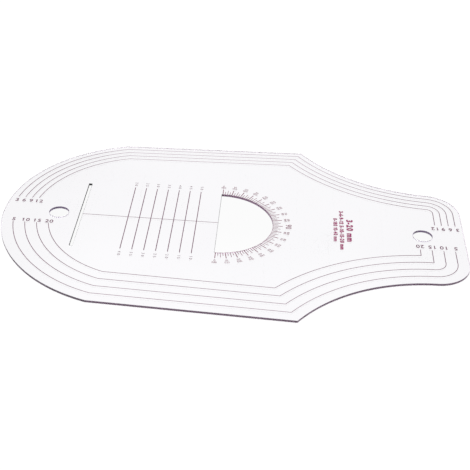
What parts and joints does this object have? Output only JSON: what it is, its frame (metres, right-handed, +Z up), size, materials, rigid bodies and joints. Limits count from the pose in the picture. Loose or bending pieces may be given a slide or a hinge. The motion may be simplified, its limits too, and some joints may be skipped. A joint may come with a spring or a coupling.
{
  "type": "sewing gauge",
  "caption": "Flat clear plastic sewing gauge: bottle-shaped plate with printed seam allowance lines, gauge lines, chalk slot, half-round protractor window and hanging holes.",
  "frame": {"origin": "under the middle of the plate's bounding box, on its flat underside", "axes": "+X along the plate from the round end to the square end, +Y towards the side with the seam lines 3 mm apart, +Z up out of the printed face"},
  "size_m": [0.201, 0.1324, 0.001],
  "materials": {
    "clear_plastic": "clear colourless sheet, glossy faces, slightly dull cut edges",
    "plum_grey_ink": "screen-printed ink, matt"
  },
  "bodies": {
    "root": {"plate": "clear_plastic", "fine_seam_line_1": "plum_grey_ink", "fine_seam_line_2": "plum_grey_ink", "fine_seam_line_3": "plum_grey_ink", "fine_seam_line_4": "plum_grey_ink", "wide_seam_line_1": "plum_grey_ink", "wide_seam_line_2": "plum_grey_ink", "wide_seam_line_3": "plum_grey_ink", "wide_seam_line_4": "plum_grey_ink", "gauge_grid": "plum_grey_ink", "protractor_scale": "plum_grey_ink"}
  },
  "joints": []
}
